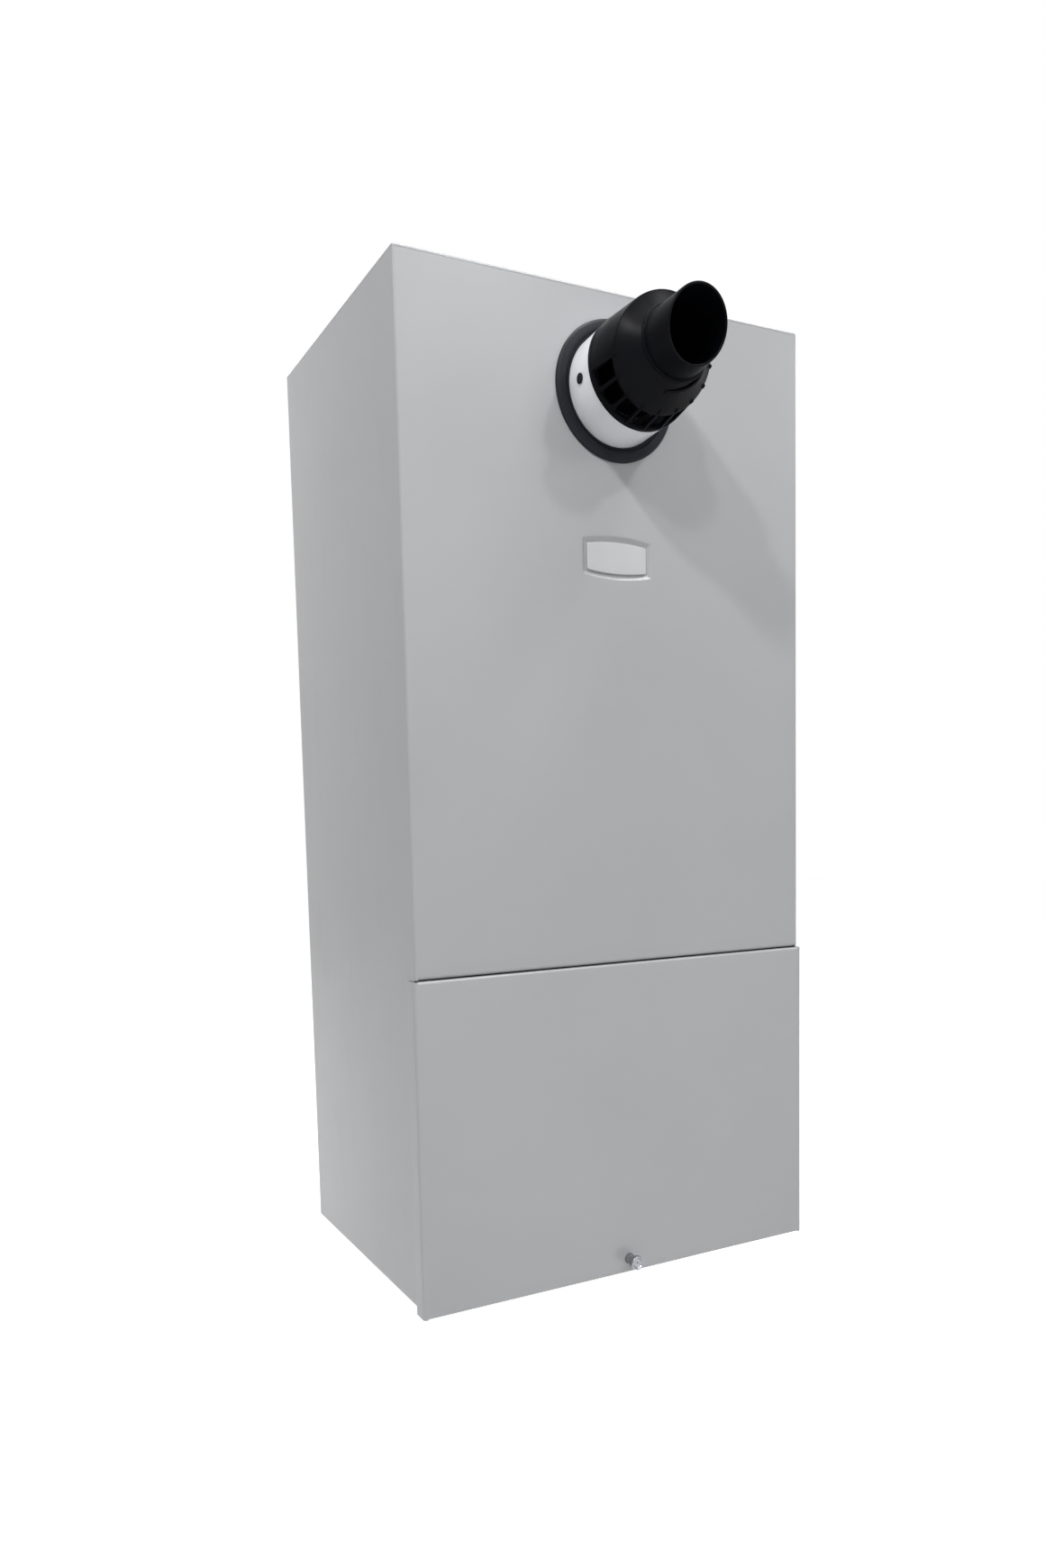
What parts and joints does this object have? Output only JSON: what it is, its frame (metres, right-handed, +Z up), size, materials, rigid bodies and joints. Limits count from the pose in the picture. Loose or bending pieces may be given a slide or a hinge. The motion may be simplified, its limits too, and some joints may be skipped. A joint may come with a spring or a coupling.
{
  "type": "wall-hung outdoor gas boiler",
  "caption": "Tall folded-sheet outdoor wall boiler with a lower service cover, a front concentric flue terminal and its heat engine, water group and controls inside.",
  "frame": {"origin": "middle of the wall bracket's rear face, against the wall", "axes": "+X to the right of someone facing the boiler, +Y into the wall, +Z up"},
  "size_m": [0.435, 0.4382, 0.917],
  "materials": {
    "casing_paint": "light grey powder coat, satin, fine orange peel",
    "galvanised_steel": "galvanised sheet, dull spangle",
    "zinc_plate": "bright zinc plate",
    "badge_plastic": "light grey satin plastic",
    "seal_rubber": "blue-black moulded rubber",
    "duct_enamel": "white gloss coating",
    "terminal_plastic": "near black moulded plastic, fine grain",
    "stainless_steel": "drawn stainless steel",
    "cast_aluminium": "sand cast, matt",
    "fibre_gasket": "pressed ceramic fibre",
    "ceramic": "glazed ceramic",
    "black_plastic": "moulded, satin",
    "grey_plastic": "moulded, satin",
    "motor_paint": "dark paint, satin",
    "brass": "machined brass",
    "copper": "drawn copper",
    "vessel_paint": "red stove enamel",
    "braided_hose": "braided steel sleeve",
    "trap_plastic": "off-white polypropylene",
    "red_plastic": "moulded, satin",
    "blue_plastic": "moulded, satin",
    "yellow_plastic": "moulded, satin",
    "circuit_green": "solder mask with plain blocks for components",
    "gauge_face": "white dial in a plain bezel"
  },
  "bodies": {
    "boiler": {"casing_wrap": "casing_paint", "top_panel": "casing_paint", "bottom_panel": "casing_paint", "back_panel": "galvanised_steel", "wall_bracket": "galvanised_steel", "hanging_rail": "galvanised_steel", "pipe_rail": "galvanised_steel", "exchanger_bracket": "galvanised_steel", "clinch_nut": "zinc_plate", "badge_plate": "badge_plastic", "flue_seal_ring": "seal_rubber", "sampling_plug": "seal_rubber", "air_duct": "duct_enamel", "terminal_cage": "terminal_plastic", "exhaust_nozzle": "terminal_plastic", "inner_flue_pipe": "stainless_steel", "exchanger_shell": "stainless_steel", "exchanger_coil": "stainless_steel", "burner_tube": "stainless_steel", "flue_elbow": "grey_plastic", "venturi": "grey_plastic", "control_box": "grey_plastic", "burner_gasket": "fibre_gasket", "burner_door": "cast_aluminium", "fan_housing": "cast_aluminium", "mixing_duct": "cast_aluminium", "gas_valve": "cast_aluminium", "pump_body": "cast_aluminium", "ignition_electrode": "ceramic", "fan_motor": "motor_paint", "pump_motor": "motor_paint", "gas_pipe": "copper", "flow_pipe": "copper", "return_pipe": "copper", "air_vent": "brass", "return_manifold": "brass", "relief_valve": "brass", "gas_cock": "brass", "return_cock": "brass", "flow_cock": "brass", "expansion_vessel": "vessel_paint", "vessel_hose": "braided_hose", "condensate_trap": "trap_plastic", "trap_hose": "black_plastic", "cable_gland": "black_plastic", "control_fascia": "black_plastic", "circuit_board": "circuit_green", "pressure_gauge": "gauge_face"},
    "front_cover": {"front_cover": "casing_paint", "screw_ferrule": "zinc_plate"},
    "cover_screw": {"cover_screw": "zinc_plate"},
    "fan_impeller": {"fan_impeller": "cast_aluminium"},
    "heating_knob": {"heating_knob": "grey_plastic"},
    "water_knob": {"water_knob": "grey_plastic"},
    "reset_button": {"reset_button": "red_plastic"},
    "gauge_needle": {"gauge_needle": "red_plastic"},
    "relief_knob": {"relief_knob": "red_plastic"},
    "gas_handle": {"gas_handle": "yellow_plastic"},
    "return_handle": {"return_handle": "blue_plastic"},
    "flow_handle": {"flow_handle": "red_plastic"}
  },
  "joints": [
    {"name": "cover_slide", "type": "slide", "parent": "boiler", "child": "front_cover", "axis": [0, -1, 0], "range_m": [0, 0.12]},
    {"name": "cover_screw_turn", "type": "hinge", "parent": "front_cover", "child": "cover_screw", "pos_m": [0, -0.305, -0.811], "axis": [0, -1, 0], "continuous": true},
    {"name": "fan_impeller_turn", "type": "hinge", "parent": "boiler", "child": "fan_impeller", "pos_m": [0.051, -0.215, -0.42], "axis": [0, -1, 0], "continuous": true},
    {"name": "heating_knob_turn", "type": "hinge", "parent": "boiler", "child": "heating_knob", "pos_m": [-0.04, -0.287, -0.605], "axis": [0, -1, 0], "range_deg": [-135, 135]},
    {"name": "water_knob_turn", "type": "hinge", "parent": "boiler", "child": "water_knob", "pos_m": [-0.105, -0.287, -0.605], "axis": [0, -1, 0], "range_deg": [-135, 135]},
    {"name": "reset_button_press", "type": "slide", "parent": "boiler", "child": "reset_button", "axis": [0, 1, 0], "range_m": [0, 0.003], "stiffness_N_per_m": 150},
    {"name": "gauge_needle_turn", "type": "hinge", "parent": "boiler", "child": "gauge_needle", "pos_m": [0.11, -0.287, -0.605], "axis": [0, -1, 0], "range_deg": [-120, 120], "stiffness_Nm_per_rad": 0.001},
    {"name": "relief_knob_turn", "type": "hinge", "parent": "boiler", "child": "relief_knob", "pos_m": [0.06, -0.15, -0.678], "axis": [0, -1, 0], "range_deg": [0, 90]},
    {"name": "gas_handle_turn", "type": "hinge", "parent": "boiler", "child": "gas_handle", "pos_m": [-0.12, -0.141, -0.7355], "axis": [0, -1, 0], "range_deg": [0, 90]},
    {"name": "return_handle_turn", "type": "hinge", "parent": "boiler", "child": "return_handle", "pos_m": [0.13, -0.141, -0.7355], "axis": [0, -1, 0], "range_deg": [0, 90]},
    {"name": "flow_handle_turn", "type": "hinge", "parent": "boiler", "child": "flow_handle", "pos_m": [0.185, -0.141, -0.7355], "axis": [0, -1, 0], "range_deg": [0, 90]}
  ]
}
